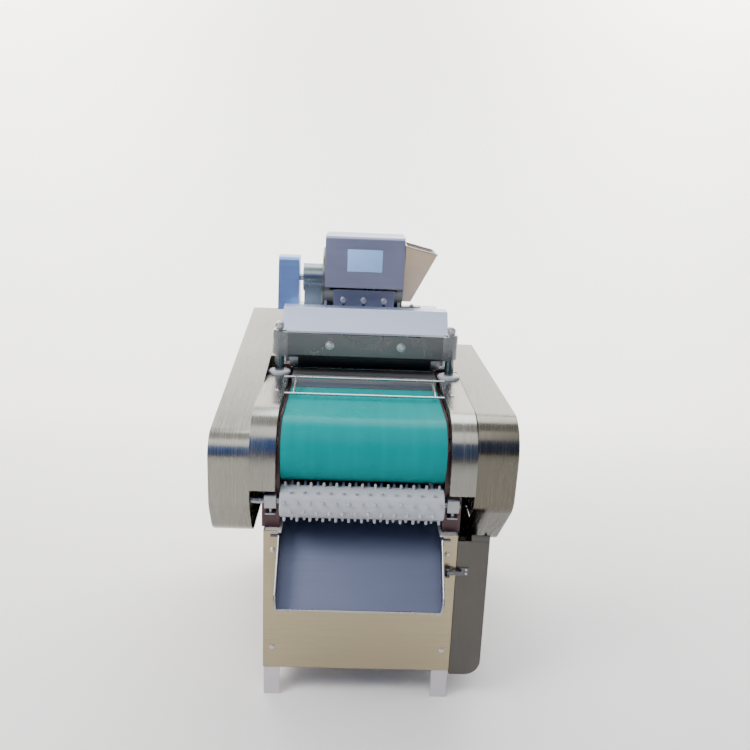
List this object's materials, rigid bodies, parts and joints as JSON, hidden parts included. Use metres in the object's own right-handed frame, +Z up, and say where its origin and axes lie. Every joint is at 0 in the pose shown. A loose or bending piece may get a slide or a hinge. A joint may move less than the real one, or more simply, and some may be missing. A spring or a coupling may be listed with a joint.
{
  "type": "vegetable shredding machine",
  "caption": "floor-standing vegetable cutter with belt feed, a reciprocating knife on two posts, studded discharge roller, hook-on chute, and a drum slicing head with hopper on top",
  "frame": {"origin": "centre of the overall footprint at floor level", "axes": "+X to the machine's right as seen from the discharge end, -Y towards the discharge end, +Z up"},
  "size_m": [0.71, 0.91, 1.085],
  "materials": {
    "stainless": "brushed stainless sheet",
    "machined_steel": "turned and ground steel",
    "dark_red_paint": "satin dark red paint",
    "green_belt": "glossy green food belt",
    "white_nylon": "white nylon",
    "black_rubber": "black rubber",
    "black_nylon": "black nylon cutting board",
    "motor_paint": "grey-blue enamel",
    "cast_steel": "cast bearing bodies",
    "zinc": "zinc-plated screws"
  },
  "bodies": {
    "frame": {"base_frame": "stainless", "cabinet_front_plate": "stainless", "cabinet_wrap": "stainless", "cabinet_right_wall": "stainless", "cabinet_floor_plate": "stainless", "discharge_chute": "stainless", "door_hinges": "machined_steel", "latch_base": "machined_steel", "side_frame_left": "dark_red_paint", "side_frame_right": "dark_red_paint", "inner_guard_left": "stainless", "inner_guard_right": "stainless", "left_drive_cover": "stainless", "right_drive_cover": "stainless", "hood": "stainless", "bed_plate": "stainless", "anvil_strip": "black_nylon", "finger_guard": "machined_steel", "post_seals": "white_nylon", "post_guides": "cast_steel", "shaft_bearings": "cast_steel", "stud_bearings": "cast_steel", "discharge_belt": "green_belt", "feed_belt": "green_belt", "main_motor": "motor_paint", "motor_mounts": "dark_red_paint", "drive_belts": "black_rubber", "drive_chains": "machined_steel", "slicer_motor": "motor_paint", "head_base": "cast_steel", "drum_casing": "stainless", "discharge_box": "stainless", "blade_holder": "machined_steel", "bearing_housing": "machined_steel", "slicer_belt_guard": "stainless", "hopper": "stainless", "cover_screws": "zinc"},
    "door": {"side_door": "stainless", "latch_keeper": "machined_steel"},
    "latch": {"latch_lever": "machined_steel"},
    "drum": {"discharge_drum": "machined_steel"},
    "tail": {"discharge_tail_roller": "machined_steel"},
    "feed_front": {"feed_front_roller": "machined_steel"},
    "feed_rear": {"feed_rear_roller": "machined_steel"},
    "stud": {"studded_roller": "white_nylon", "stud_shaft": "machined_steel"},
    "arms": {"press_arms": "machined_steel"},
    "presser": {"press_roller": "black_rubber", "press_roller_ends": "machined_steel"},
    "carriage": {"knife_posts": "machined_steel", "clamp_sleeves": "machined_steel", "knife_beam": "machined_steel", "knife": "machined_steel", "carriage_bolts": "zinc", "crosshead": "cast_steel"},
    "crank": {"crankshaft": "machined_steel"},
    "rod": {"connecting_rod": "cast_steel"},
    "motor_rotor": {"motor_pulley": "cast_steel"},
    "slicer": {"slicer_rotor": "machined_steel"},
    "slicer_motor_rotor": {"slicer_motor_pulley": "cast_steel"}
  },
  "joints": [
    {"name": "door_hinge", "type": "hinge", "parent": "frame", "child": "door", "pos_m": [0.311, 0.406, 0.21], "axis": [0, 0, 1], "range_deg": [0, 95]},
    {"name": "latch_pivot", "type": "hinge", "parent": "frame", "child": "latch", "pos_m": [0.21, -0.368, 0.352], "axis": [0, 0, 1], "range_deg": [-95, 0]},
    {"name": "drum_turn", "type": "hinge", "parent": "frame", "child": "drum", "pos_m": [0, -0.294, 0.633], "axis": [1, 0, 0], "continuous": true},
    {"name": "tail_turn", "type": "hinge", "parent": "frame", "child": "tail", "pos_m": [0, -0.068, 0.69], "axis": [1, 0, 0], "continuous": true},
    {"name": "feed_front_turn", "type": "hinge", "parent": "frame", "child": "feed_front", "pos_m": [0, 0.078, 0.707], "axis": [1, 0, 0], "continuous": true},
    {"name": "feed_rear_turn", "type": "hinge", "parent": "frame", "child": "feed_rear", "pos_m": [0, 0.421, 0.707], "axis": [1, 0, 0], "continuous": true},
    {"name": "stud_turn", "type": "hinge", "parent": "frame", "child": "stud", "pos_m": [0, -0.35, 0.518], "axis": [1, 0, 0], "continuous": true},
    {"name": "arm_pivot", "type": "hinge", "parent": "frame", "child": "arms", "pos_m": [0, 0.16, 0.789], "axis": [1, 0, 0], "range_deg": [-12, 0]},
    {"name": "presser_turn", "type": "hinge", "parent": "arms", "child": "presser", "pos_m": [0, 0.062, 0.769], "axis": [1, 0, 0], "continuous": true},
    {"name": "knife_slide", "type": "slide", "parent": "frame", "child": "carriage", "axis": [0, 0, -1], "range_m": [0, 0.044]},
    {"name": "crank_turn", "type": "hinge", "parent": "frame", "child": "crank", "pos_m": [0, 0.02, 0.203], "axis": [1, 0, 0], "continuous": true},
    {"name": "rod_turn", "type": "hinge", "parent": "crank", "child": "rod", "pos_m": [0, 0.02, 0.225], "axis": [1, 0, 0], "continuous": true},
    {"name": "motor_turn", "type": "hinge", "parent": "frame", "child": "motor_rotor", "pos_m": [0, 0.23, 0.178], "axis": [1, 0, 0], "continuous": true},
    {"name": "slicer_turn", "type": "hinge", "parent": "frame", "child": "slicer", "pos_m": [0, 0.35, 0.947], "axis": [1, 0, 0], "continuous": true},
    {"name": "slicer_motor_turn", "type": "hinge", "parent": "frame", "child": "slicer_motor_rotor", "pos_m": [0, 0.35, 0.56], "axis": [1, 0, 0], "continuous": true}
  ],
  "couplings": [
    {"joint": "drum_turn", "follows": "crank_turn", "ratio": 1},
    {"joint": "feed_front_turn", "follows": "crank_turn", "ratio": 1},
    {"joint": "feed_rear_turn", "follows": "crank_turn", "ratio": 1},
    {"joint": "stud_turn", "follows": "crank_turn", "ratio": 3},
    {"joint": "tail_turn", "follows": "crank_turn", "ratio": 3.255},
    {"joint": "motor_turn", "follows": "crank_turn", "ratio": 3.075},
    {"joint": "rod_turn", "follows": "crank_turn", "ratio": -1},
    {"joint": "slicer_motor_turn", "follows": "slicer_turn", "ratio": 1}
  ]
}
